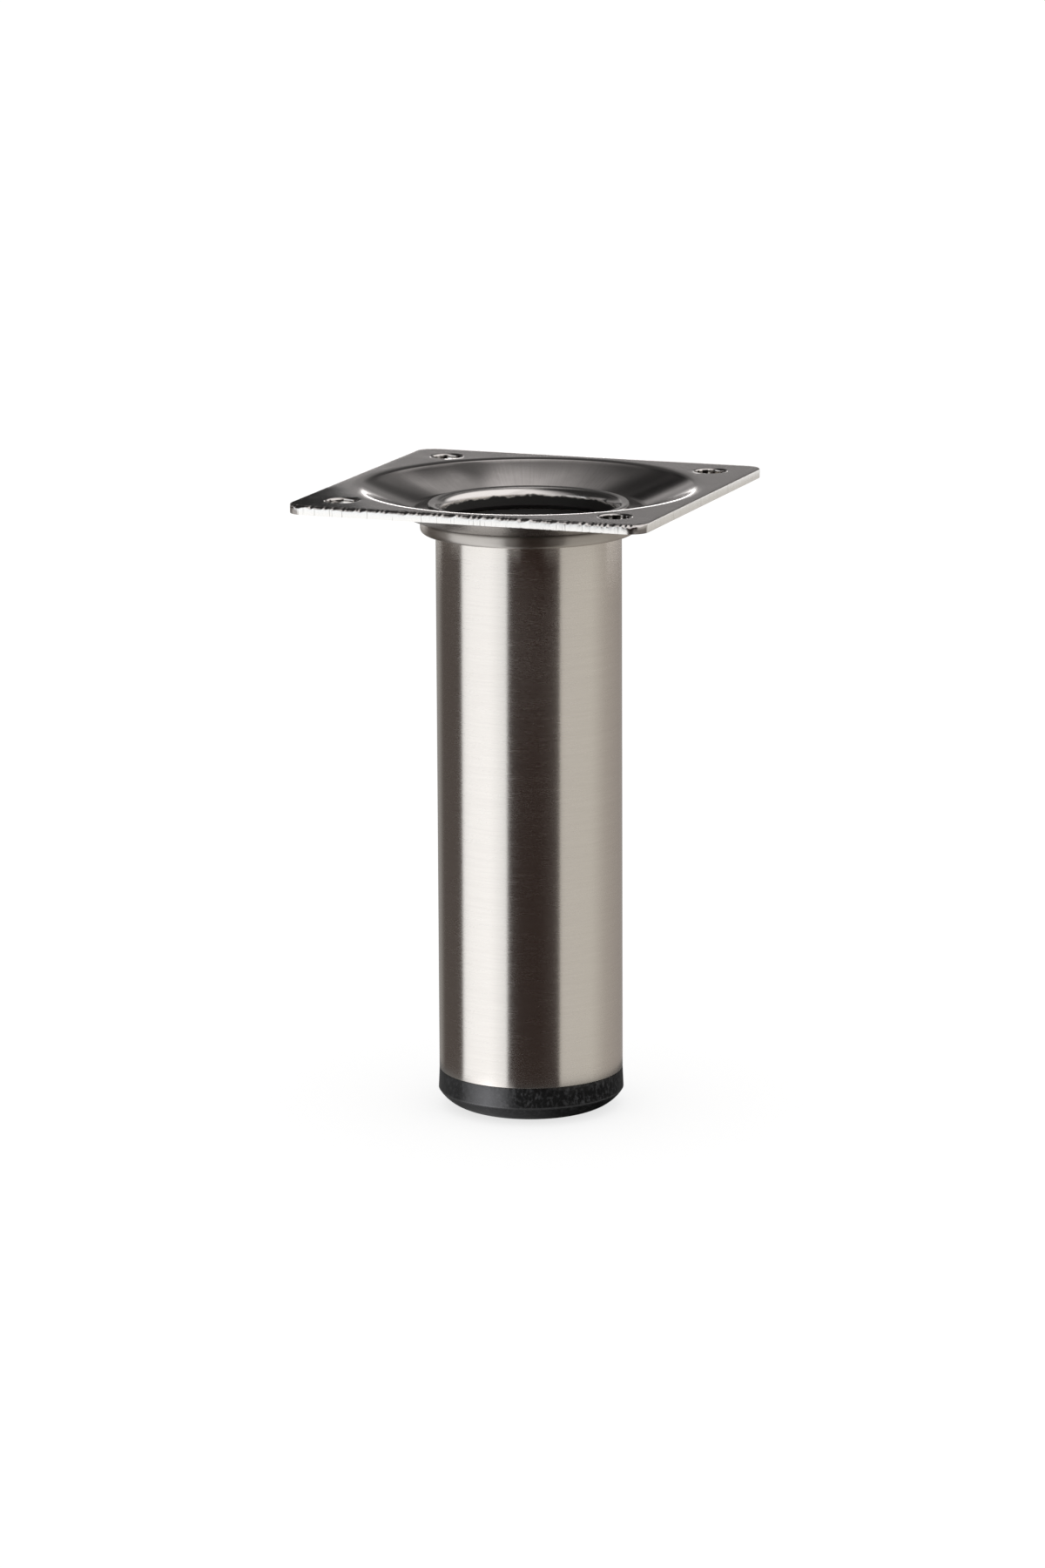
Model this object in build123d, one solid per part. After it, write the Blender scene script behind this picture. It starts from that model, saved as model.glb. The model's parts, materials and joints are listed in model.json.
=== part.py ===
from build123d import *
import os

# Furniture leg: a round steel tube with a pressed square plate on top and a push-in foot cap below.
# Millimetres, +Z up. The origin is the middle of the foot's flat underside, where it meets the floor.

# Overall
leg_height = 102.5

# Tube, with a folded bead under the plate and its end rolled over the plate
tube_diameter = 30.0
tube_wall = 1.0
bead_projection = 2.5
bead_fold_gap = 0.2
bead_root_bend = 0.6
rim_projection = 1.4
rim_mouth_round = 1.5

# Mounting plate, pressed from one sheet
plate_size = 60.0
plate_thickness = 1.5
plate_corner_radius = 3.0
plate_edge_break = 0.3
dish_depth = 3.7
dish_margin = 2.5
dish_floor_land = 0.9
dish_bend_radius = 3.0
tube_hole_clearance = 0.1
screw_hole_diameter = 5.0
screw_hole_inset = 7.0

# Foot cap, a rounded head on a hollow spigot with lengthwise ribs
cap_head_height = 6.25
cap_draft = 0.15
cap_edge_height = 2.9
cap_flat_radius = 9.9
cap_floor_thickness = 2.6
spigot_length = 15.0
spigot_wall = 1.8
rib_count = 8
rib_depth = 1.2
rib_thickness = 1.4
rib_lead_in = 2.0
rib_clearance = 0.05

# Length of the handles that bend a Bezier curve into a half round, in radii
half_round_handle = 4 / 3

# Places that several pieces share
tube_radius = tube_diameter / 2
bore_radius = tube_radius - tube_wall
dish_floor_top = leg_height - dish_depth
dish_floor_underside = dish_floor_top - plate_thickness
tube_end = cap_head_height


def turned(section):
    """Solid of a section that is drawn as radius and height, turned about the leg's axis."""
    return revolve(Plane.XZ * section, Axis.Z)


def make_leg_tube():
    """Tube whose wall folds out into the bead, comes back, and rolls over the dish's floor."""
    bead_top = dish_floor_underside
    bead_underside = bead_top - 2 * tube_wall - bead_fold_gap
    bead_edge = tube_radius + bead_projection
    bead_round = (bead_top - bead_underside) / 2
    bead_flank = bead_edge - bead_round
    bead_handle = bead_flank + half_round_handle * bead_round
    fold_low = bead_underside + tube_wall
    fold_high = bead_top - tube_wall
    fold_end = bead_edge - tube_wall
    fold_mouth = bore_radius + bead_root_bend
    rim_edge = tube_radius + rim_projection
    rim_top = dish_floor_top + tube_wall
    mouth_edge = bore_radius + rim_mouth_round
    mouth_root = rim_top - rim_mouth_round

    outside = Polyline(
        (bore_radius, tube_end),
        (tube_radius, tube_end),
        (tube_radius, bead_underside),
        (bead_flank, bead_underside),
    )
    bead = Bezier(
        (bead_flank, bead_underside),
        (bead_handle, bead_underside),
        (bead_handle, bead_top),
        (bead_flank, bead_top),
    )
    neck_and_rim = Polyline(
        (bead_flank, bead_top),
        (tube_radius, bead_top),
        (tube_radius, dish_floor_top),
        (rim_edge, dish_floor_top),
        (rim_edge, rim_top),
        (mouth_edge, rim_top),
    )
    mouth = Spline((mouth_edge, rim_top), (bore_radius, mouth_root), tangents=[(-1, 0), (0, -1)])
    inside = Polyline(
        (bore_radius, mouth_root),
        (bore_radius, fold_high + bead_root_bend),
        (fold_mouth, fold_high),
        (fold_end, fold_high),
        (fold_end, fold_low),
        (fold_mouth, fold_low),
        (bore_radius, fold_low - bead_root_bend),
        (bore_radius, tube_end),
    )
    return turned(make_face(outside + bead + neck_and_rim + mouth + inside))


def make_mounting_plate():
    """Square plate with a dish drawn into it, a hole for the tube and four screw holes."""
    half_sheet = plate_thickness / 2
    dish_edge = plate_size / 2 - dish_margin / 2
    sheet_middle = Polyline(
        (dish_edge, leg_height - half_sheet),
        (plate_size / 2 - dish_margin, leg_height - half_sheet),
        (tube_radius + bead_projection + dish_floor_land, dish_floor_top - half_sheet),
        (tube_radius + tube_hole_clearance, dish_floor_top - half_sheet),
    )
    section = trace(sheet_middle, plate_thickness)
    lip = section.vertices().group_by(Axis.Y)[-1].sort_by(Axis.X)[0]
    floor_bend = section.vertices().group_by(Axis.Y)[0].sort_by(Axis.X)[-1]
    dish = turned(fillet([lip, floor_bend], dish_bend_radius))

    outline = RectangleRounded(plate_size, plate_size, plate_corner_radius)
    blank = extrude(Pos(0, 0, leg_height - plate_thickness) * outline, plate_thickness)
    blank = chamfer(blank.faces().sort_by(Axis.Z)[-1].edges(), plate_edge_break)
    screw_hole_spacing = plate_size - 2 * screw_hole_inset
    drill = Cylinder(screw_hole_diameter / 2, 2 * plate_thickness)
    for place in GridLocations(screw_hole_spacing, screw_hole_spacing, 2, 2):
        blank -= Pos(0, 0, leg_height) * place * drill
    opening = Pos(0, 0, leg_height) * Cylinder(dish_edge, 2 * plate_thickness)
    return blank - opening + dish


def make_foot_cap():
    """Moulded foot: rounded head with a flat underside, and a hollow ribbed spigot inside the tube."""
    rib_edge = bore_radius - rib_clearance
    core_radius = rib_edge - rib_depth
    wall_middle = core_radius - spigot_wall / 2
    hollow_radius = core_radius - spigot_wall
    spigot_top = tube_end + spigot_length
    widest = tube_radius + cap_draft
    underside = Line((0, 0), (cap_flat_radius, 0))
    rounding = TangentArc((cap_flat_radius, 0), (widest, cap_edge_height), tangent=(1, 0))
    side_and_inside = Polyline(
        (widest, cap_edge_height),
        (tube_radius, tube_end),
        (core_radius, tube_end),
        (core_radius, spigot_top),
        (hollow_radius, spigot_top),
        (hollow_radius, cap_floor_thickness),
        (0, cap_floor_thickness),
        (0, 0),
    )
    cap = turned(make_face(underside + rounding + side_and_inside))
    rib_profile = Polyline(
        (wall_middle, tube_end),
        (rib_edge, tube_end),
        (rib_edge, spigot_top - rib_lead_in),
        (core_radius, spigot_top),
        (wall_middle, spigot_top),
        close=True,
    )
    rib = extrude(Plane.XZ * make_face(rib_profile), rib_thickness / 2, both=True)
    for place in PolarLocations(0, rib_count):
        cap += place * rib
    return cap


os.makedirs("parts", exist_ok=True)
export_step(make_leg_tube(), "parts/leg_tube.step")
export_step(make_mounting_plate(), "parts/mounting_plate.step")
export_step(make_foot_cap(), "parts/foot_cap.step")
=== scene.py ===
import json
import math

import bpy
from mathutils import Matrix, Vector, noise
from mathutils.geometry import delaunay_2d_cdt


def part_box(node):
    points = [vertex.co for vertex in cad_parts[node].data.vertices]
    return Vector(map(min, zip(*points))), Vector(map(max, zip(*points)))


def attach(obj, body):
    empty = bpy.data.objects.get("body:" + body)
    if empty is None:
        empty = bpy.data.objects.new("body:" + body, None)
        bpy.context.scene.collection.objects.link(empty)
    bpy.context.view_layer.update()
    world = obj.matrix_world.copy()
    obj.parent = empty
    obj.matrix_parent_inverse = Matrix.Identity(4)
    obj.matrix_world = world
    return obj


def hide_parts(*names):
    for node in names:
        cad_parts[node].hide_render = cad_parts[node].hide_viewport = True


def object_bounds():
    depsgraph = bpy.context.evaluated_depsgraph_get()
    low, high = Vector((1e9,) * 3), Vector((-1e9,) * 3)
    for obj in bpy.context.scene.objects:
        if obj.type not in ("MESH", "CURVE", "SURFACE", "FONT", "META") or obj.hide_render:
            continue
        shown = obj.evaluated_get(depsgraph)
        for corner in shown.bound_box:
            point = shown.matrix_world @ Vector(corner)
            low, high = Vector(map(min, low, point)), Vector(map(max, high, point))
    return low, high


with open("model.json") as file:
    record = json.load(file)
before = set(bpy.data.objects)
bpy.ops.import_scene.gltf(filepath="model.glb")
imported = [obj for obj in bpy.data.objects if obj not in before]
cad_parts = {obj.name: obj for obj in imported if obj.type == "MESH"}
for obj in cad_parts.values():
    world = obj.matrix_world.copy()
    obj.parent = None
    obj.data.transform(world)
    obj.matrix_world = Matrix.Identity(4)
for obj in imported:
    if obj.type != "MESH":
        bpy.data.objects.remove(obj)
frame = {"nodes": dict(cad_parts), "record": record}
cad_low, cad_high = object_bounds()

MM = 0.001

# Sizes of the solids, in metres: read from the frame where its boxes and mounts give them, else as modelled
plate_low, plate_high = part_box("mounting_plate")
tube_low, tube_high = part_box("leg_tube")
screw_mount = next(m for m in frame["record"]["mounts"] if m["name"] == "screw_holes")
PLATE_HALF = plate_high.x
PLATE_TOP = plate_high.z
PLATE_THICKNESS = 1.5 * MM
PLATE_CORNER = 3.0 * MM
HOLE_PITCH = screw_mount["dims"]["spacing_x_mm"] * MM
HOLE_RADIUS = screw_mount["dims"]["hole_r_mm"] * MM
DISH_FLOOR_UNDERSIDE = plate_low.z
DISH_FLOOR = plate_low.z + PLATE_THICKNESS
DISH_MARGIN = 2.5 * MM
DISH_EDGE = PLATE_HALF - DISH_MARGIN / 2
DISH_MOUTH = PLATE_HALF - DISH_MARGIN
DISH_FLOOR_LAND = 0.9 * MM
DISH_BEND = 3.0 * MM
TUBE_HOLE_CLEARANCE = 0.1 * MM
TUBE_RADIUS = 15.0 * MM
TUBE_WALL = 1.0 * MM
BORE = TUBE_RADIUS - TUBE_WALL
TUBE_END = tube_low.z
RIM_TOP = tube_high.z
RIM_PROJECTION = 1.4 * MM
RIM_EDGE = TUBE_RADIUS + RIM_PROJECTION
MOUTH_ROUND = 1.5 * MM
BEAD_EDGE = tube_high.x
BEAD_FOLD_GAP = 0.2 * MM
BEAD_ROOT_BEND = 0.6 * MM
FOOT_RIDGE = 2.9 * MM

# Small shapes that only the dressed part has

# Cut edge of the plate: depth of its roll-over, plain and on the ragged front side, how far each varies, the
# limits, its reach inward in depths, the strip of the top that it takes, the lengths of its raggedness, and
# the torn part below it
ROLL_OVER = 0.20 * MM
ROLL_OVER_FRONT = 0.60 * MM
ROLL_OVER_SPREAD = 0.03 * MM
ROLL_OVER_FRONT_SPREAD = 0.30 * MM
ROLL_OVER_LEAST = 0.12 * MM
ROLL_OVER_MOST = 0.80 * MM
ROLL_OVER_REACH = 1.3
ROLL_STRIP = 1.1 * MM
RAGGED_COARSE = 1.5 * MM
RAGGED_FINE = 0.45 * MM
RAGGED_FINE_SHARE = 0.8
TORN_DEPTH = 0.05 * MM
TORN_LENGTH = 0.5 * MM
TORN_OFFSET = 4.0 * MM
TORN_SHARES = (0.55, 0.85)

# Screw holes: roll-over at the top, and the share of the sheet where the wall is plain
HOLE_ROLL = 0.45 * MM
HOLE_PLAIN_SHARE = 0.7

# Dish: how far in its lip lies, the lip's gentle start with its turn in degrees, the bend after it, the sag
# of the wall, and a narrow strip that keeps the floor's edge crisp
LIP_SHIFT = 0.25 * MM
LIP_ENTRY = 9.0 * MM
LIP_ENTRY_TURN = 8.0
LIP_BEND = 3.2 * MM
DISH_HOLLOW = 0.10 * MM
FLOOR_STRIP = 0.05 * MM

# Tube: slope of the rim's top and how far its outer round goes below level, both in degrees, the softened
# edges, and the power of the bead's section, which is 2 for a half round
RIM_SLOPE = 8.0
RIM_TUCK = 30.0
RIM_SOFTENING = 0.45 * MM
EDGE_SOFTENING = 0.15 * MM
BEAD_FULLNESS = 3.4

# How finely curves are drawn, and the angles in degrees over which edges stay sharp
PERIMETER_STEP = 0.15 * MM
TURN_STEPS = 288
HOLE_STEPS = 48
SOFT_STEPS = 4
ROLL_STEPS = 6
ENTRY_STEPS = 8
BEND_STEPS = 10
WALL_STEPS = 12
ROUND_STEPS = 24
TUBE_SHARP = 35
PLATE_SHARP = 50

# Filling of flat sheets: only between the loops, with points this close taken as one, in metres, and with
# a little slack round each hole
FILL_INSIDE = 1
FILL_MERGE = 1e-9
FILL_SLACK = 1.0001

# Base colours of the materials
BRUSHED_DARK = (0.680, 0.640, 0.592, 1)
BRUSHED_LIGHT = (0.716, 0.676, 0.625, 1)
# Painted shade on the bead under the plate
BEAD_SHADE = (0.16, 0.14, 0.12, 1)
BURNISHED = (0.70, 0.685, 0.67, 1)
# Near black: painted shade deep in the bore
BORE_SHADE = (0.010, 0.009, 0.008, 1)
BRIGHT_CLEAN = (0.61, 0.590, 0.578, 1)
BRIGHT_STAINED = (0.56, 0.540, 0.528, 1)
DRAW_MARK = (0.46, 0.44, 0.425, 1)
# Painted shade on the dish's underside
UNDERSIDE_SHADE = (0.16, 0.14, 0.125, 1)
# Painted shade in the crease at the foot of the dish's wall, round the tube's rim
CREVICE_SHADE = (0.12, 0.105, 0.095, 1)
# Painted shade in the screw holes, in streaks with plain plating
PUNCHED_SHADE = (0.02, 0.018, 0.016, 1)
PUNCHED_BRIGHT = (0.66, 0.64, 0.62, 1)
CUT_BRIGHT = (0.74, 0.73, 0.71, 1)
CUT_SCORED = (0.50, 0.49, 0.47, 1)
PLASTIC_DARK = (0.0022, 0.0022, 0.0025, 1)
PLASTIC_LIGHT = (0.004, 0.004, 0.0043, 1)
PLASTIC_SCUFFED = (0.045, 0.045, 0.048, 1)
# Lighter line along the foot's ridge: wear and a painted highlight
PLASTIC_WORN_HIGHLIGHT = (0.055, 0.055, 0.056, 1)

# Camera, fitted to the photo. Metres and degrees, lens and sensor in millimetres.
CAMERA_AZIMUTH = 20.63
CAMERA_ELEVATION = 12.284
CAMERA_ROLL = -0.28
CAMERA_DISTANCE = 1.0
CAMERA_LENS = 141.5
CAMERA_SENSOR = 36.0
AIM_BELOW_TOP = 0.04909
AIM_ASIDE = -0.00119

# Floor, a hair below the foot so that the two faces don't lie in one plane
FLOOR_SIZE = 6.0
FLOOR_DROP = 0.05 * MM
FLOOR_COLOUR = (0.32, 0.32, 0.32, 1.0)
FLOOR_LIFT = 0.72

# Cards round the leg that only reflections see. The tube's cards go by stops round the tube, in degrees to
# the camera's right, where the camera sees them mirrored. The other stops are azimuths from the camera,
# positive to its right. Each stop has a brightness, and two at one place make an edge. Each profile goes
# along a card as radius, height and share of the brightness.
TUBE_STOPS = [
    (-90, (0.36, 0.35, 0.34)),
    (-75, (0.29, 0.28, 0.27)),
    (-68, (0.100, 0.086, 0.080)),
    (-45.95, (0.092, 0.078, 0.073)),
    (-45.95, (1.28, 1.31, 1.36)),
    (-24.8, (1.32, 1.35, 1.40)),
    (-13.45, (1.00, 1.03, 1.07)),
    (-13.45, (0.024, 0.013, 0.010)),
    (7.1, (0.026, 0.015, 0.012)),
    (19.55, (0.050, 0.038, 0.035)),
    (19.55, (0.66, 0.64, 0.61)),
    (42, (0.65, 0.63, 0.59)),
    (55.5, (0.47, 0.44, 0.41)),
    (73.8, (0.36, 0.33, 0.31)),
    (90, (0.33, 0.31, 0.30)),
    (270, (0.27, 0.26, 0.25)),
]
TUBE_PROFILE = [(0.0185, 0.0004, 1.0), (0.040, 0.0004, 1.0), (0.048, 0.020, 1.0), (0.048, 0.090, 1.0)]
# Brushed metal spreads its reflections up and down, so most of these cards go on further out and higher. The
# dark one at the left stays lower, because the plate's top would mirror it in views from the right.
UPPER_STOPS = TUBE_STOPS[4:13]
UPPER_PROFILE = [(0.15, 0.085, 1.0), (0.15, 0.150, 1.0)]
LEFT_STOPS = TUBE_STOPS[2:4]
LEFT_PROFILE = [(0.15, 0.085, 1.0), (0.15, 0.118, 1.0)]
# Cards for the plate's cut edges, for the foot's side and for its rounding below
EDGE_STOPS = [
    (-180, (0.45, 0.43, 0.41)),
    (-110, (0.45, 0.43, 0.41)),
    (-100, (1.34, 1.34, 1.34)),
    (-12, (1.34, 1.34, 1.34)),
    (-8, (0.05, 0.045, 0.04)),
    (15, (0.05, 0.045, 0.04)),
    (25, (0.80, 0.78, 0.76)),
    (45, (0.48, 0.46, 0.44)),
    (75, (0.48, 0.46, 0.44)),
    (90, (0.42, 0.40, 0.38)),
    (115, (0.76, 0.73, 0.69)),
    (180, (0.45, 0.43, 0.41)),
]
EDGE_PROFILE = [(0.15, 0.02, 1.0), (0.15, 0.085, 1.0)]
FOOT_STOPS = [
    (-180, (0.18, 0.18, 0.18)),
    (-90, (0.16, 0.16, 0.16)),
    (-58, (0.20, 0.20, 0.20)),
    (-42, (1.45, 1.45, 1.50)),
    (-31, (2.2, 2.2, 2.3)),
    (-20, (1.45, 1.45, 1.50)),
    (-9, (0.06, 0.06, 0.06)),
    (60, (0.05, 0.05, 0.05)),
    (180, (0.18, 0.18, 0.18)),
]
FOOT_PROFILE = [(0.0180, 0.0010, 1.0), (0.0180, 0.0056, 1.0)]
UNDERFOOT_STOPS = [
    (-180, (0.24, 0.24, 0.24)),
    (-60, (0.24, 0.24, 0.24)),
    (-31, (0.60, 0.60, 0.62)),
    (-8, (0.38, 0.38, 0.39)),
    (25, (0.08, 0.08, 0.08)),
    (60, (0.02, 0.02, 0.02)),
    (180, (0.24, 0.24, 0.24)),
]
UNDERFOOT_PROFILE = [(0.0100, 0.0002, 0.1), (0.0140, 0.0002, 0.6), (0.0180, 0.0008, 1.0)]
# Lean of the cards' edges, in degrees for a metre of height, upright at one height
CARD_LEAN = 28.0
CARD_UPRIGHT = 0.088

# Studio above the plate, also only for reflections: brightness by elevation, darker on the camera's
# side, and soft boxes, each over the ones before it, given by azimuth, elevation, half width, half
# height, the feathers of both, all in degrees, and brightness
DOME_CENTRE = 0.101
DOME_RADIUS = 0.6
DOME_LEVELS = [
    (0, 2.0),
    (4, 1.6),
    (6, 0.58),
    (7.5, 0.25),
    (9, 0.24),
    (13, 0.25),
    (18, 0.09),
    (22, 0.06),
    (44, 0.06),
    (56, 0.14),
    (64, 0.22),
    (76, 0.40),
    (90, 0.70),
]
DOME_TINT = (1.0, 0.965, 0.955)
FRONT_SHARE = 0.3
FRONT_FADE = (60, 110)
SOFT_BOXES = [
    (249, 55, 52, 34, 8, 8, 0.03),
    (249, 13, 24, 13, 10, 6, 0.34),
    (180, 1, 26, 6, 6, 3, 0.90),
    (180, 0, 7, 4, 4, 2, 5.0),
    (163.5, 28, 7, 13, 3, 5, 0.17),
    (191, 47, 6, 10, 5, 4, 0.17),
    (168, 40, 4.5, 10, 4, 5, 0.46),
    (182, 47, 13, 11, 13, 8, 0.57),
    (176.5, 47, 7, 11, 4, 8, 0.72),
    (193.5, 32, 4, 6, 3, 4, 0.03),
    (190, 23, 4, 6, 3, 4, 0.02),
    (187, 11.5, 4, 7, 4, 4, 0.40),
    (0, 52, 85, 44, 80, 15, 1.05),
    (85, 52, 70, 44, 20, 15, 1.20),
]
# Small dark flag behind the plate's left corner: how far behind the leg's axis, places to the left of it
# with their brightness, its lower and upper edge, and how it leans to the right from one height
FLAG_BEHIND = 0.040
FLAG_STOPS = [(0.0292, 0.25), (0.0320, 0.04), (0.045, 0.02), (0.060, 0.02)]
FLAG_HEIGHT = (0.1035, 0.118)
FLAG_LEAN = 1.2
FLAG_UPRIGHT = 0.1108
STUDIO_STEP = 1.0


def polar(azimuth, elevation):
    """Direction at an azimuth from the camera, positive to its right, and an elevation, in degrees."""
    turn = math.radians(CAMERA_AZIMUTH + azimuth)
    lift = math.radians(elevation)
    return Vector((math.sin(turn) * math.cos(lift), -math.cos(turn) * math.cos(lift), math.sin(lift)))


def between(stops, place):
    """Value at a place among sorted stops of place and number or colour."""
    for (a, low), (b, high) in zip(stops, stops[1:]):
        if a <= place <= b and b > a:
            share = (place - a) / (b - a)
            if isinstance(low, tuple):
                return tuple(p + (q - p) * share for p, q in zip(low, high))
            return low + (high - low) * share
    return stops[-1][1]


def new_object(name, mesh):
    piece = bpy.data.objects.new(name, mesh)
    bpy.context.scene.collection.objects.link(piece)
    return piece


def grid_faces(rows, columns, closed):
    """Quads between the points of a grid that is stored row by row."""
    quads = []
    for r in range(rows - 1):
        for c in range(columns if closed else columns - 1):
            n = (c + 1) % columns
            quads.append((r * columns + c, r * columns + n, (r + 1) * columns + n, (r + 1) * columns + c))
    return quads


# Stage


def glow(name):
    """Plain light of the brightness that is kept with the points."""
    material = bpy.data.materials.new(name)
    material.use_nodes = True
    nodes = material.node_tree.nodes
    nodes.clear()
    tone = nodes.new("ShaderNodeVertexColor")
    tone.layer_name = "tone"
    emission = nodes.new("ShaderNodeEmission")
    output = nodes.new("ShaderNodeOutputMaterial")
    links = material.node_tree.links
    links.new(tone.outputs["Color"], emission.inputs["Color"])
    links.new(emission.outputs["Emission"], output.inputs["Surface"])
    return material


def reflection_card(name, points, tones, faces):
    """Stage card that lights nothing and shows only in reflections."""
    mesh = bpy.data.meshes.new(name)
    mesh.from_pydata(points, [], faces)
    layer = mesh.color_attributes.new("tone", "FLOAT_COLOR", "POINT")
    for entry, tone in zip(layer.data, tones):
        entry.color = (*tone, 1.0)
    mesh.materials.append(glow(name))
    card = new_object(name, mesh)
    card.visible_camera = False
    card.visible_diffuse = False
    card.visible_shadow = False
    card.visible_transmission = False
    card.visible_volume_scatter = False


def mirror_azimuth(turn, radius):
    """Azimuth of a card at a radius that the camera sees mirrored at a turn round the tube."""
    if turn <= 90:
        return 2 * turn - math.degrees(math.asin(TUBE_RADIUS / radius * math.sin(math.radians(turn))))
    return 180 + math.degrees(math.asin(TUBE_RADIUS / radius)) * (turn - 180) / 90


def make_cards(name, stops, profile, mirrored=False):
    """Wall of light and dark cards that stand round the leg."""
    for k, ((start, first), (end, last)) in enumerate(zip(stops, stops[1:])):
        if end == start:
            continue
        count = math.ceil((end - start) / STUDIO_STEP)
        places = [start + (end - start) * c / count for c in range(count + 1)]
        points, tones = [], []
        for radius, height, share in profile:
            lean = CARD_LEAN * (height - CARD_UPRIGHT)
            for place in places:
                azimuth = mirror_azimuth(place, radius) if mirrored else place
                points.append(polar(azimuth + lean, 0) * radius + Vector((0, 0, height)))
                tone = between([(start, first), (end, last)], place)
                tones.append(tuple(part * share for part in tone))
        faces = grid_faces(len(profile), len(places), False)
        reflection_card(f"{name}_{k}", points, tones, faces)


def soft_step(place, width):
    """Smoothly from 0 to 1 as a place goes from 0 to a width."""
    share = min(1.0, max(0.0, place / width))
    return share * share * (3 - 2 * share)


def studio_tone(azimuth, elevation):
    """Brightness of the dome in a direction, with the soft boxes laid over it."""
    off_front = abs((azimuth + 180) % 360 - 180)
    front_start, front_end = FRONT_FADE
    level = between(DOME_LEVELS, elevation)
    level *= FRONT_SHARE + (1 - FRONT_SHARE) * soft_step(off_front - front_start, front_end - front_start)
    for middle, height, half_width, half_height, side_feather, end_feather, brightness in SOFT_BOXES:
        aside = abs((azimuth - middle + 180) % 360 - 180)
        cover = soft_step(half_width - aside, side_feather)
        cover *= soft_step(half_height - abs(elevation - height), end_feather)
        level += (brightness - level) * cover
    return tuple(level * part for part in DOME_TINT)


def make_dome():
    """Studio above the plate."""
    azimuths = [STUDIO_STEP * k for k in range(round(360 / STUDIO_STEP))]
    elevations = [STUDIO_STEP * k for k in range(round(90 / STUDIO_STEP) + 1)]
    centre = Vector((0, 0, DOME_CENTRE))
    points = [centre + polar(a, e) * DOME_RADIUS for e in elevations for a in azimuths]
    tones = [studio_tone(a, e) for e in elevations for a in azimuths]
    reflection_card("dome", points, tones, grid_faces(len(elevations), len(azimuths), True))


def make_flag():
    """Small dark flag behind the plate."""
    points, tones = [], []
    for height in FLAG_HEIGHT:
        lean = FLAG_LEAN * (height - FLAG_UPRIGHT)
        for aside, brightness in FLAG_STOPS:
            foot = polar(180, 0) * FLAG_BEHIND + polar(-90, 0) * (aside - lean)
            points.append(foot + Vector((0, 0, height)))
            tones.append((brightness, brightness, brightness))
    reflection_card("flag", points, tones, grid_faces(len(FLAG_HEIGHT), len(FLAG_STOPS), False))


def make_floor():
    """Pale floor with the object's shadow, lifted to white for camera, glossy and transmission rays."""
    half = FLOOR_SIZE / 2
    mesh = bpy.data.meshes.new("floor")
    spots = [(-half, -half), (half, -half), (half, half), (-half, half)]
    mesh.from_pydata([(x, y, -FLOOR_DROP) for x, y in spots], [], [(0, 1, 2, 3)])
    floor = new_object("floor", mesh)
    material = bpy.data.materials.new("floor")
    material.use_nodes = True
    nodes, links = material.node_tree.nodes, material.node_tree.links
    shader = nodes["Principled BSDF"]
    shader.inputs["Base Color"].default_value = FLOOR_COLOUR
    shader.inputs["Roughness"].default_value = 1.0
    shader.inputs["Specular IOR Level"].default_value = 0.0
    shader.inputs["Emission Color"].default_value = (1.0, 1.0, 1.0, 1.0)
    path = nodes.new("ShaderNodeLightPath")
    seen = path.outputs["Is Camera Ray"]
    for ray in ("Is Glossy Ray", "Is Transmission Ray"):
        either = nodes.new("ShaderNodeMath")
        either.operation = "MAXIMUM"
        links.new(seen, either.inputs[0])
        links.new(path.outputs[ray], either.inputs[1])
        seen = either.outputs[0]
    lift = nodes.new("ShaderNodeMath")
    lift.operation = "MULTIPLY"
    lift.inputs[1].default_value = FLOOR_LIFT
    links.new(seen, lift.inputs[0])
    links.new(lift.outputs[0], shader.inputs["Emission Strength"])
    mesh.materials.append(material)


def make_world():
    """Plain white light from all round."""
    world = bpy.data.worlds.new("studio")
    bpy.context.scene.world = world
    world.use_nodes = True
    world.node_tree.nodes["Background"].inputs["Color"].default_value = (1.0, 1.0, 1.0, 1.0)
    world.node_tree.nodes["Background"].inputs["Strength"].default_value = 1.0


def make_camera():
    """Camera at the photo's viewing angle."""
    back = polar(0, CAMERA_ELEVATION)
    aim = Vector((0, 0, cad_high.z - AIM_BELOW_TOP)) + polar(90, 0) * AIM_ASIDE
    data = bpy.data.cameras.new("camera")
    data.lens = CAMERA_LENS
    data.sensor_width = CAMERA_SENSOR
    camera = bpy.data.objects.new("camera", data)
    bpy.context.scene.collection.objects.link(camera)
    facing = back.to_track_quat("Z", "Y").to_matrix().to_4x4()
    roll = Matrix.Rotation(math.radians(CAMERA_ROLL), 4, "Z")
    camera.matrix_world = Matrix.Translation(aim + back * CAMERA_DISTANCE) @ facing @ roll
    bpy.context.scene.camera = camera


# Materials


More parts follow.
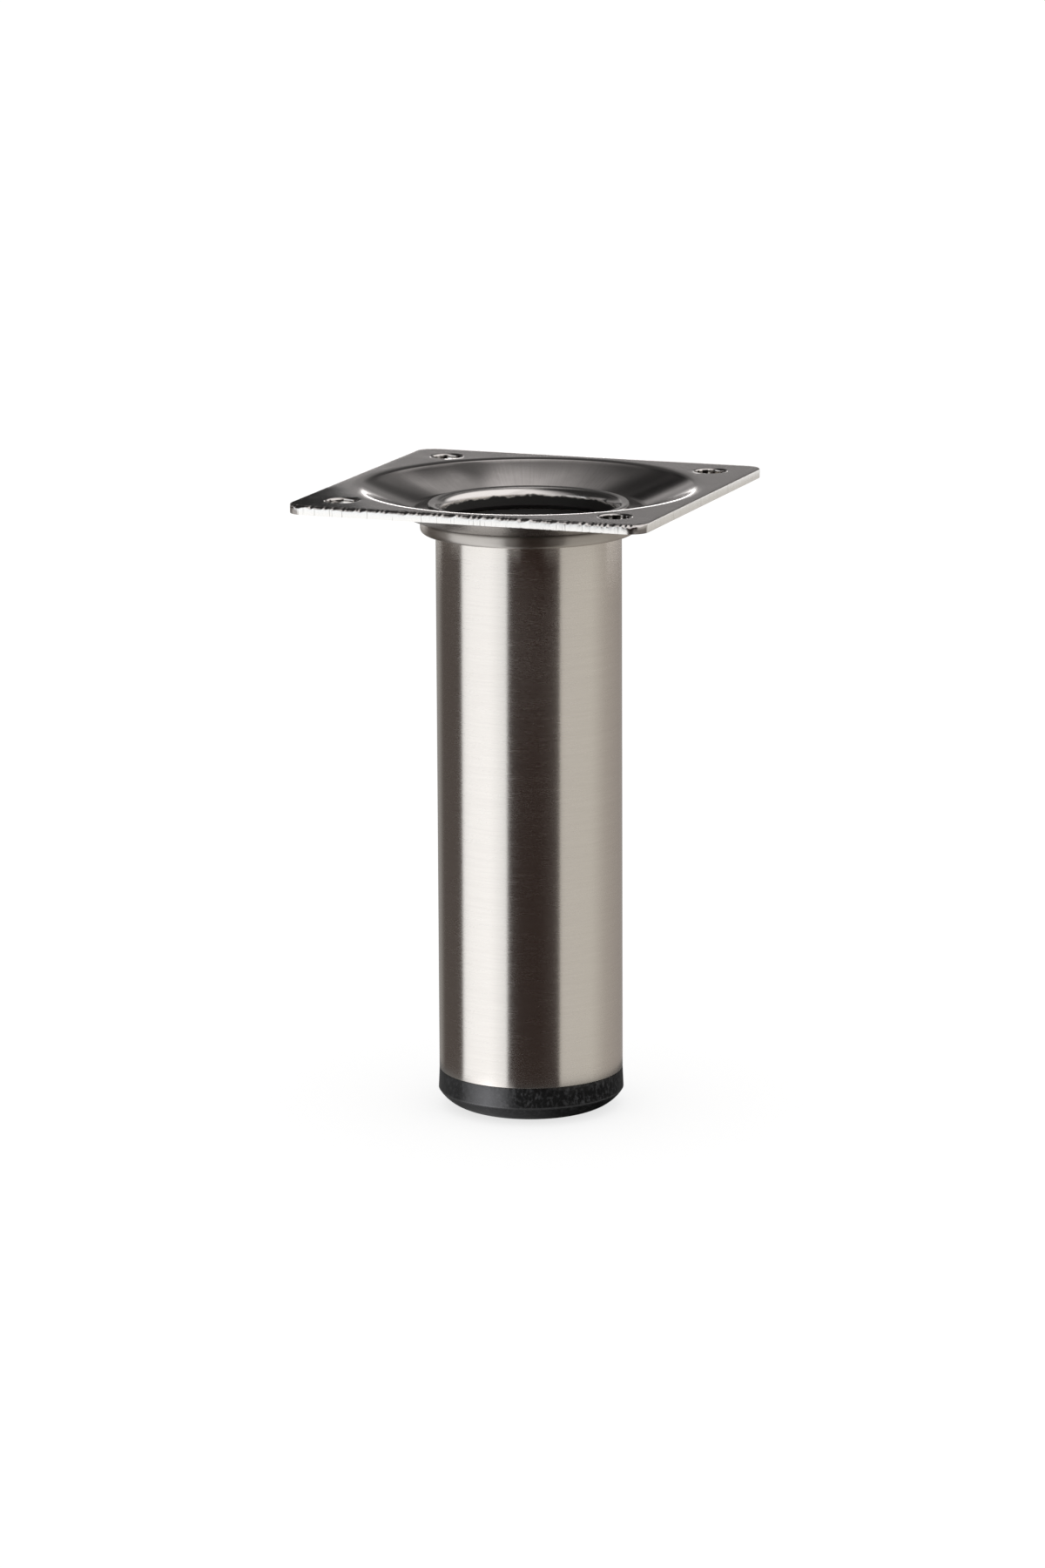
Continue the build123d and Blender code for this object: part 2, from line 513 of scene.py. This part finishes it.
class Nodes:
    """Short ways to add the nodes of one material and link them."""

    def __init__(self, name):
        self.material = bpy.data.materials.new(name)
        self.material.use_nodes = True
        self.tree = self.material.node_tree
        self.shader = self.tree.nodes["Principled BSDF"]
        self.place = self.tree.nodes.new("ShaderNodeTexCoord").outputs["Object"]

    def add(self, kind, **settings):
        node = self.tree.nodes.new(kind)
        for key, value in settings.items():
            setattr(node, key, value)
        return node

    def link(self, source, target):
        """Link an output to an input, or set a plain value on it."""
        if isinstance(source, (int, float, tuple)):
            target.default_value = source
        else:
            self.tree.links.new(source, target)

    def math(self, operation, *values):
        node = self.add("ShaderNodeMath", operation=operation)
        for value, socket in zip(values, node.inputs):
            self.link(value, socket)
        return node.outputs[0]

    def vector(self, operation, *values):
        node = self.add("ShaderNodeVectorMath", operation=operation)
        for value, socket in zip(values, node.inputs):
            self.link(value, socket)
        return node.outputs[0]

    def blend(self, first, second, share):
        """Sum of two values with a share of the second."""
        return self.math("ADD", self.math("MULTIPLY", first, 1 - share), self.math("MULTIPLY", second, share))

    def plus(self, value, mask, amount):
        """Value with an amount added by a mask."""
        return self.math("ADD", value, self.math("MULTIPLY", mask, amount))

    def rest(self, share):
        """What a share leaves of 1."""
        return self.math("SUBTRACT", 1.0, share)

    def cloud(self, place, detail):
        node = self.add("ShaderNodeTexNoise")
        node.inputs["Scale"].default_value = 1.0
        node.inputs["Detail"].default_value = detail
        self.link(place, node.inputs["Vector"])
        return node.outputs["Fac"]

    def grain(self, across, up, detail):
        """Noise with grains of one length across the leg and another up it."""
        return self.cloud(self.vector("MULTIPLY", self.place, (1 / across, 1 / across, 1 / up)), detail)

    def spokes(self, count, detail):
        """Noise in streaks that run out from the leg's axis, about so many to a radian."""
        flat = self.vector("MULTIPLY", self.place, (1.0, 1.0, 0.0))
        way = self.vector("NORMALIZE", flat)
        return self.cloud(self.vector("MULTIPLY", way, (count, count, count)), detail)

    def span(self, value, low, high, start=0.0, end=1.0):
        """Value taken from low..high to start..end, and held there."""
        node = self.add("ShaderNodeMapRange", clamp=True)
        for number, socket in zip((value, low, high, start, end), node.inputs):
            self.link(number, socket)
        return node.outputs[0]

    def mix(self, share, first, second):
        node = self.add("ShaderNodeMix", data_type="RGBA")
        self.link(share, node.inputs["Factor"])
        self.link(first, node.inputs["A"])
        self.link(second, node.inputs["B"])
        return node.outputs["Result"]

    def bump(self, height, distance, normal=None):
        node = self.add("ShaderNodeBump")
        node.inputs["Strength"].default_value = 1.0
        node.inputs["Distance"].default_value = distance
        self.link(height, node.inputs["Height"])
        if normal is not None:
            self.link(normal, node.inputs["Normal"])
        return node.outputs["Normal"]

    def axes(self):
        """Place along X, Y and Z."""
        node = self.add("ShaderNodeSeparateXYZ")
        self.link(self.place, node.inputs[0])
        return node.outputs

    def length(self, x, y):
        """Length of a step across the leg."""
        return self.math("SQRT", self.math("ADD", self.math("MULTIPLY", x, x), self.math("MULTIPLY", y, y)))

    def set(self, **inputs):
        """Values or links for the shader's inputs, named with underscores for spaces."""
        for key, value in inputs.items():
            self.link(value, self.shader.inputs[key.replace("_", " ")])


def brushed_nickel():
    """Nickel brushed round the tube, burnished on the rolled rim, with painted shade on the bead under the
    plate.

    Down in the bore the plating gives way to a dull near black, painted shade for the deep bore.
    """
    n = Nodes("brushed_nickel")
    fine = n.grain(across=1.4 * MM, up=0.15 * MM, detail=3.0)
    broad = n.grain(across=9.0 * MM, up=0.4 * MM, detail=2.0)
    cloud = n.grain(across=16 * MM, up=16 * MM, detail=2.0)
    scratch = n.span(n.grain(across=4.0 * MM, up=0.18 * MM, detail=2.0), 0.62, 0.72)
    brush = n.blend(fine, broad, 0.3)
    streak = n.span(n.blend(fine, broad, 0.6), 0.35, 0.65)
    x, y, height = n.axes()
    radius = n.length(x, y)

    inside = n.span(radius, TUBE_RADIUS - 0.35 * MM, TUBE_RADIUS - 0.25 * MM, 1.0, 0.0)
    edge = n.plus(height, n.grain(across=1.4 * MM, up=1.1 * MM, detail=3.0), 1.2 * MM)
    deep = n.span(edge, RIM_TOP - 0.9 * MM, RIM_TOP - 0.6 * MM, 1.0, 0.0)
    # Painted shade: the deep bore turns dull and near black
    bore_shade = n.math("MULTIPLY", inside, deep)
    rolled = n.span(height, DISH_FLOOR - 0.4 * MM, DISH_FLOOR)
    proud = n.span(radius, TUBE_RADIUS + 0.2 * MM, TUBE_RADIUS + 0.6 * MM)
    # The bead under the plate gets painted shade in its colour, and more roughness
    bead = n.math("MULTIPLY", proud, n.rest(rolled))

    plated = n.mix(streak, BRUSHED_DARK, BRUSHED_LIGHT)
    plated = n.mix(n.math("MULTIPLY", bead, 0.35), plated, BEAD_SHADE)
    plated = n.mix(rolled, plated, BURNISHED)
    rough = n.math("ADD", n.span(brush, 0.3, 0.7, 0.235, 0.275), n.span(cloud, 0.3, 0.7, -0.01, 0.01))
    rough = n.plus(rough, scratch, 0.05)
    rough = n.plus(rough, rolled, -0.10)
    rough = n.plus(rough, bead, 0.12)
    n.set(
        Base_Color=n.mix(bore_shade, plated, BORE_SHADE),
        Metallic=n.rest(bore_shade),
        Roughness=n.plus(rough, bore_shade, 0.35),
        Normal=n.bump(brush, distance=0.004 * MM),
        Anisotropic=0.9,
        Anisotropic_Rotation=0.25,
    )
    tangent = n.add("ShaderNodeTangent", direction_type="RADIAL", axis="Z")
    n.link(tangent.outputs["Tangent"], n.shader.inputs["Tangent"])
    return n.material


def polished_nickel():
    """Bright plating with the unevenness and draw marks of a pressing, scored where sheared. It is rougher
    below, and painted shade darkens the dish's underside, the crease round the rim and the screw holes.
    """
    n = Nodes("polished_nickel")
    wave = n.grain(across=11 * MM, up=11 * MM, detail=1.0)
    speck = n.grain(across=0.4 * MM, up=0.4 * MM, detail=2.0)
    stain = n.grain(across=3.3 * MM, up=3.3 * MM, detail=4.0)
    score = n.grain(across=0.35 * MM, up=6.0 * MM, detail=3.0)
    streak = n.span(n.grain(across=0.9 * MM, up=8.0 * MM, detail=1.0), 0.42, 0.52)
    x, y, height = n.axes()
    far_x, far_y = n.math("ABSOLUTE", x), n.math("ABSOLUTE", y)
    radius = n.length(x, y)
    wall_foot = BEAD_EDGE + DISH_FLOOR_LAND

    sheared = n.span(n.math("MAXIMUM", far_x, far_y), PLATE_HALF - 0.15 * MM, PLATE_HALF - 0.05 * MM)
    dish = n.span(radius, DISH_MOUTH - 0.5 * MM, DISH_MOUTH + 0.5 * MM, 1.0, 0.0)
    drawn = n.math("MULTIPLY", n.spokes(count=110, detail=3.0), dish)
    top = n.span(radius, wall_foot, DISH_MOUTH, DISH_FLOOR, PLATE_TOP)
    # Below the dish the plating is rougher and darkened with painted shade
    below = n.span(n.math("SUBTRACT", top, height), 0.4 * MM, 0.9 * MM, 0.0, 0.7)
    dull_and_shaded = n.math("MULTIPLY", below, n.rest(sheared))
    off_x, off_y = n.math("SUBTRACT", far_x, HOLE_PITCH / 2), n.math("SUBTRACT", far_y, HOLE_PITCH / 2)
    # Painted shade down the screw holes
    hole_shade = n.span(n.length(off_x, off_y), HOLE_RADIUS + 0.02 * MM, HOLE_RADIUS + 0.10 * MM, 1.0, 0.0)
    # Painted shade in the crease at the foot of the dish's wall
    crevice_shade = n.span(radius, wall_foot - 0.2 * MM, wall_foot + 0.8 * MM, 0.65, 0.0)

    bright = n.mix(n.span(stain, 0.35, 0.7), BRIGHT_CLEAN, BRIGHT_STAINED)
    bright = n.mix(n.span(drawn, 0.45, 0.75, 0.0, 0.3), bright, DRAW_MARK)
    bright = n.mix(dull_and_shaded, bright, UNDERSIDE_SHADE)
    bright = n.mix(crevice_shade, bright, CREVICE_SHADE)
    bright = n.mix(hole_shade, bright, n.mix(streak, PUNCHED_SHADE, PUNCHED_BRIGHT))
    cut = n.mix(n.span(score, 0.60, 0.72), CUT_BRIGHT, CUT_SCORED)
    rough = n.math("ADD", n.span(stain, 0.3, 0.7, 0.09, 0.13), n.span(drawn, 0.35, 0.7, 0.0, 0.03))
    rough = n.plus(rough, sheared, 0.14)
    uneven = n.bump(wave, distance=0.05 * MM)
    n.set(
        Base_Color=n.mix(sheared, bright, cut),
        Metallic=1.0,
        Roughness=n.plus(rough, dull_and_shaded, 0.2),
        Normal=n.bump(speck, distance=0.0012 * MM, normal=uneven),
    )
    return n.material


def black_plastic():
    """Satin moulded plastic with a fine grain: scuffed in patches, dented outside, and lighter along its
    ridge, partly wear and partly a painted highlight.
    """
    n = Nodes("black_plastic")
    cloud = n.grain(across=6.5 * MM, up=6.5 * MM, detail=4.0)
    fine = n.grain(across=0.25 * MM, up=0.25 * MM, detail=2.0)
    dents = n.grain(across=1.3 * MM, up=1.0 * MM, detail=3.0)
    scuff = n.span(n.grain(across=0.50 * MM, up=0.75 * MM, detail=4.0), 0.50, 0.70)
    scuff = n.math("MULTIPLY", scuff, n.span(cloud, 0.38, 0.58, 0.3, 1.0))
    x, y, height = n.axes()
    outside = n.span(n.length(x, y), TUBE_RADIUS - 5.0 * MM, TUBE_RADIUS - 2.0 * MM)
    # Lighter line along the ridge: wear and a painted highlight
    off_ridge = n.math("ABSOLUTE", n.math("SUBTRACT", height, FOOT_RIDGE))
    worn_and_highlit = n.span(off_ridge, 0.08 * MM, 0.26 * MM, 0.8, 0.0)

    base = n.mix(n.span(cloud, 0.35, 0.7), PLASTIC_DARK, PLASTIC_LIGHT)
    base = n.mix(scuff, base, PLASTIC_SCUFFED)
    base = n.mix(worn_and_highlit, base, PLASTIC_WORN_HIGHLIGHT)
    dented = n.bump(n.math("MULTIPLY", dents, outside), distance=0.10 * MM)
    n.set(
        Base_Color=base,
        Roughness=n.plus(n.span(cloud, 0.3, 0.7, 0.24, 0.36), scuff, 0.16),
        Specular_IOR_Level=0.8,
        Normal=n.bump(fine, distance=0.006 * MM, normal=dented),
    )
    return n.material


# Pieces


def arc(centre, radius, start, end, count):
    """Points on an arc in a section, from a start to an end angle in degrees."""
    points = []
    for k in range(count + 1):
        angle = math.radians(start + (end - start) * k / count)
        points.append((centre[0] + radius * math.cos(angle), centre[1] + radius * math.sin(angle)))
    return points


def ring(radius, height):
    """Points of one turn about the leg's axis."""
    turns = [2 * math.pi * k / TURN_STEPS for k in range(TURN_STEPS)]
    return [(radius * math.cos(t), radius * math.sin(t), height) for t in turns]


def lathe(profile):
    """Points and quads of a section turned about the leg's axis."""
    points = [point for r, z in profile for point in ring(r, z)]
    return points, grid_faces(len(profile), TURN_STEPS, True)


def dressed(name, points, faces, node, material):
    """Piece that stands for a CAD node and takes its finish."""
    mesh = bpy.data.meshes.new(name)
    mesh.from_pydata(points, [], faces)
    mesh.validate()
    mesh.materials.append(material)
    mesh.shade_smooth()
    piece = new_object(name, mesh)
    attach(piece, "root")
    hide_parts(node)
    return piece


def keep_crisp(piece, angle):
    """Smooth shading that leaves flat faces flat and edges over an angle sharp."""
    piece.data.set_sharp_from_angle(angle=math.radians(angle))
    modifier = piece.modifiers.new("crisp", "WEIGHTED_NORMAL")
    modifier.keep_sharp = True
    modifier.weight = 100


def rim_profile():
    """Rolled rim: softened outer edge, a top that falls a little to the bore, and the rounded mouth."""
    tilt = math.radians(RIM_SLOPE)
    crest = (RIM_EDGE - RIM_SOFTENING, RIM_TOP - RIM_SOFTENING)
    top_start = crest[0] - RIM_SOFTENING * math.sin(tilt)
    top_height = crest[1] + RIM_SOFTENING * math.cos(tilt)
    top_end = BORE + MOUTH_ROUND * (1 - math.sin(tilt))
    mouth_height = top_height - (top_start - top_end) * math.tan(tilt) - MOUTH_ROUND * math.cos(tilt)
    outer = arc(crest, RIM_SOFTENING, -RIM_TUCK, 90 + RIM_SLOPE, BEND_STEPS)
    return outer + arc((BORE + MOUTH_ROUND, mouth_height), MOUTH_ROUND, 90 + RIM_SLOPE, 180, ROUND_STEPS)


def make_tube():
    """Tube with its folded bead and rolled rim, as in the solid, with the edges softened."""
    soft = EDGE_SOFTENING
    bead_top = DISH_FLOOR_UNDERSIDE
    bead_low = bead_top - 2 * TUBE_WALL - BEAD_FOLD_GAP
    bead_round = (bead_top - bead_low) / 2
    fold_low = bead_low + TUBE_WALL
    fold_high = bead_top - TUBE_WALL
    profile = [(BORE + soft, TUBE_END), (TUBE_RADIUS - soft, TUBE_END)]
    profile += arc((TUBE_RADIUS - soft, TUBE_END + soft), soft, -90, 0, SOFT_STEPS)[1:]
    profile += arc((TUBE_RADIUS + soft, bead_low - soft), soft, 180, 90, SOFT_STEPS)
    for across, up in arc((0, 0), 1, -90, 90, ROUND_STEPS):
        reach = abs(across) ** (2 / BEAD_FULLNESS) * bead_round
        rise = math.copysign(abs(up) ** (2 / BEAD_FULLNESS), up) * bead_round
        profile.append((BEAD_EDGE - bead_round + reach, bead_low + bead_round + rise))
    profile += [(TUBE_RADIUS, bead_top), (TUBE_RADIUS, DISH_FLOOR), (RIM_EDGE - soft, DISH_FLOOR)]
    profile += rim_profile()
    profile += [
        (BORE, fold_high + BEAD_ROOT_BEND),
        (BORE + BEAD_ROOT_BEND, fold_high),
        (BEAD_EDGE - TUBE_WALL, fold_high),
        (BEAD_EDGE - TUBE_WALL, fold_low),
        (BORE + BEAD_ROOT_BEND, fold_low),
        (BORE, fold_low - BEAD_ROOT_BEND),
        (BORE, TUBE_END + soft),
        (BORE + soft, TUBE_END),
    ]
    points, faces = lathe(profile)
    piece = dressed("tube_shell", points, faces, "leg_tube", brushed_nickel())
    keep_crisp(piece, TUBE_SHARP)


def perimeter():
    """Places round the plate's outline, each with its outward direction."""
    flat = PLATE_HALF - PLATE_CORNER
    count = round(2 * flat / PERIMETER_STEP)
    corner_count = round(PLATE_CORNER * math.pi / 2 / PERIMETER_STEP)
    stations = []
    for side in range(4):
        turn = Matrix.Rotation(side * math.pi / 2, 2)
        for k in range(count):
            along = -flat + 2 * flat * k / count
            stations.append((turn @ Vector((PLATE_HALF, along)), turn @ Vector((1, 0))))
        for k in range(corner_count):
            angle = math.pi / 2 * k / corner_count
            way = Vector((math.cos(angle), math.sin(angle)))
            stations.append((turn @ (Vector((flat, flat)) + way * PLATE_CORNER), turn @ way))
    return stations


def roll_shares():
    """Shares of reach and depth along a rolled-over edge, from the flat top round to the wall."""
    turns = [math.pi / 2 * k / ROLL_STEPS for k in range(ROLL_STEPS + 1)]
    return [(1 - math.sin(turn), 1 - math.cos(turn)) for turn in turns]


def edge_section(spot, way):
    """Cut edge at a place on the outline, as inward and downward steps: rolled over above, torn below.

    The front side is the ragged one.
    """
    ragged = noise.noise(Vector((spot.x, spot.y, 0)) / RAGGED_COARSE)
    ragged += RAGGED_FINE_SHARE * noise.noise(Vector((spot.x, spot.y, 1)) / RAGGED_FINE)
    front = max(0.0, -way.y)
    roll = ROLL_OVER + (ROLL_OVER_FRONT - ROLL_OVER) * front
    roll += (ROLL_OVER_SPREAD + (ROLL_OVER_FRONT_SPREAD - ROLL_OVER_SPREAD) * front) * ragged
    roll = min(ROLL_OVER_MOST, max(ROLL_OVER_LEAST, roll))
    section = [(ROLL_STRIP, 0.0)]
    section += [(roll * ROLL_OVER_REACH * inward, roll * below) for inward, below in roll_shares()]
    for share in TORN_SHARES:
        torn = noise.noise(Vector((spot.x, spot.y, share * TORN_OFFSET)) / TORN_LENGTH)
        section.append((TORN_DEPTH * (0.5 + 0.5 * torn), roll + (PLATE_THICKNESS - roll) * share))
    section.append((TORN_DEPTH, PLATE_THICKNESS))
    section.append((ROLL_STRIP, PLATE_THICKNESS))
    return section


def dish_profile():
    """Section of the dish, from the plate's top down the wall to the tube's hole and back underneath."""
    slope = math.atan2(PLATE_TOP - DISH_FLOOR, DISH_MOUTH - (BEAD_EDGE + DISH_FLOOR_LAND))
    lean = math.tan(slope / 2)
    half = PLATE_THICKNESS / 2
    degrees = math.degrees(slope)
    hole = TUBE_RADIUS + TUBE_HOLE_CLEARANCE

    # The lip starts gently and then turns down the wall
    entry = math.radians(LIP_ENTRY_TURN)
    drop = LIP_ENTRY * (1 - math.cos(entry)) + LIP_BEND * (math.cos(entry) - math.cos(slope))
    wall_top = (DISH_MOUTH - LIP_SHIFT + half * lean - drop / math.tan(slope), PLATE_TOP - drop)
    bend = (wall_top[0] + LIP_BEND * math.sin(slope), wall_top[1] - LIP_BEND * math.cos(slope))
    start = bend[0] + (LIP_ENTRY - LIP_BEND) * math.sin(entry)
    profile = arc((start, PLATE_TOP - LIP_ENTRY), LIP_ENTRY, 90, 90 + LIP_ENTRY_TURN, ENTRY_STEPS)
    profile += arc(bend, LIP_BEND, 90 + LIP_ENTRY_TURN, 90 + degrees, BEND_STEPS)[1:]

    # The wall sags a little between the lip and the floor
    wall_foot = (BEAD_EDGE + DISH_FLOOR_LAND + half * lean, DISH_FLOOR)
    for k in range(1, WALL_STEPS):
        share = k / WALL_STEPS
        sag = DISH_HOLLOW * 4 * share * (1 - share)
        radius = wall_top[0] + (wall_foot[0] - wall_top[0]) * share + sag * math.sin(slope)
        height = wall_top[1] + (wall_foot[1] - wall_top[1]) * share - sag * math.cos(slope)
        profile.append((radius, height))
    profile += [wall_foot, (wall_foot[0] - FLOOR_STRIP, DISH_FLOOR), (hole, DISH_FLOOR)]

    floor_bend = BEAD_EDGE + DISH_FLOOR_LAND - half * lean - DISH_BEND * lean
    profile += [(hole, DISH_FLOOR_UNDERSIDE)]
    bend = (floor_bend, DISH_FLOOR_UNDERSIDE + DISH_BEND)
    profile += arc(bend, DISH_BEND, -90, -90 + degrees, BEND_STEPS)
    underside = PLATE_TOP - PLATE_THICKNESS
    return profile + [(DISH_MOUTH - half * lean, underside), (DISH_EDGE, underside)]


def hole_rows(x, y):
    """Rings of a screw hole that the punch rolled over at its top."""
    section = [(HOLE_RADIUS + HOLE_ROLL * outward, HOLE_ROLL * below) for outward, below in roll_shares()]
    section.append((HOLE_RADIUS, PLATE_THICKNESS * HOLE_PLAIN_SHARE))
    section.append((HOLE_RADIUS + EDGE_SOFTENING, PLATE_THICKNESS))
    turns = [2 * math.pi * k / HOLE_STEPS for k in range(HOLE_STEPS)]
    return [
        [(x + r * math.cos(t), y + r * math.sin(t), PLATE_TOP - below) for t in turns] for r, below in section
    ]


def fill_flat(loops, points, faces, upward):
    """Flat sheet between closed loops of point numbers: the first is its outline, the rest are holes."""
    numbers = [n for loop in loops for n in loop]
    flat = [Vector(points[n][:2]) for n in numbers]
    edges, start = [], 0
    for loop in loops:
        edges += [(start + k, start + (k + 1) % len(loop)) for k in range(len(loop))]
        start += len(loop)
    found = delaunay_2d_cdt(flat, edges, [], FILL_INSIDE, FILL_MERGE)[2]
    rounds = []
    for loop in loops[1:]:
        spots = [Vector(points[n][:2]) for n in loop]
        middle = sum(spots, Vector((0, 0))) / len(spots)
        rounds.append((middle, FILL_SLACK * max((s - middle).length for s in spots)))
    for triangle in found:
        spots = [flat[k] for k in triangle]
        if any(all((s - middle).length < radius for s in spots) for middle, radius in rounds):
            continue
        triangle = [numbers[k] for k in triangle]
        faces.append(triangle if upward else triangle[::-1])


def make_plate():
    """Plate with the dish of the solid, edges rolled over and torn by the shears, and rolled screw holes."""
    points, faces = [], []
    tops, lows = [], []

    def add_rows(rows):
        start, count = len(points), len(rows[0])
        last = start + (len(rows) - 1) * count
        for row in rows:
            points.extend(row)
        for quad in grid_faces(len(rows), count, True):
            faces.append(tuple(start + k for k in quad))
        tops.append(list(range(start, start + count)))
        lows.append(list(range(last, last + count)))

    outline = []
    for spot, way in reversed(perimeter()):
        places = [(spot - way * inward, below) for inward, below in edge_section(spot, way)]
        outline.append([(place.x, place.y, PLATE_TOP - below) for place, below in places])
    add_rows([list(row) for row in zip(*outline)])
    add_rows([ring(r, z) for r, z in dish_profile()])
    for x in (-HOLE_PITCH / 2, HOLE_PITCH / 2):
        for y in (-HOLE_PITCH / 2, HOLE_PITCH / 2):
            add_rows(hole_rows(x, y))
    fill_flat(tops, points, faces, True)
    fill_flat(lows, points, faces, False)
    piece = dressed("plate_sheet", points, faces, "mounting_plate", polished_nickel())
    keep_crisp(piece, PLATE_SHARP)


make_tube()
make_plate()
for slot in frame["nodes"]["foot_cap"].material_slots:
    slot.material = black_plastic()

make_floor()
make_cards("tube_card", TUBE_STOPS, TUBE_PROFILE, mirrored=True)
make_cards("upper_card", UPPER_STOPS, UPPER_PROFILE, mirrored=True)
make_cards("left_card", LEFT_STOPS, LEFT_PROFILE, mirrored=True)
make_cards("edge_card", EDGE_STOPS, EDGE_PROFILE)
make_cards("foot_card", FOOT_STOPS, FOOT_PROFILE)
make_cards("underfoot_card", UNDERFOOT_STOPS, UNDERFOOT_PROFILE)
make_dome()
make_flag()
make_world()
make_camera()
bpy.context.scene.view_settings.view_transform = "Standard"
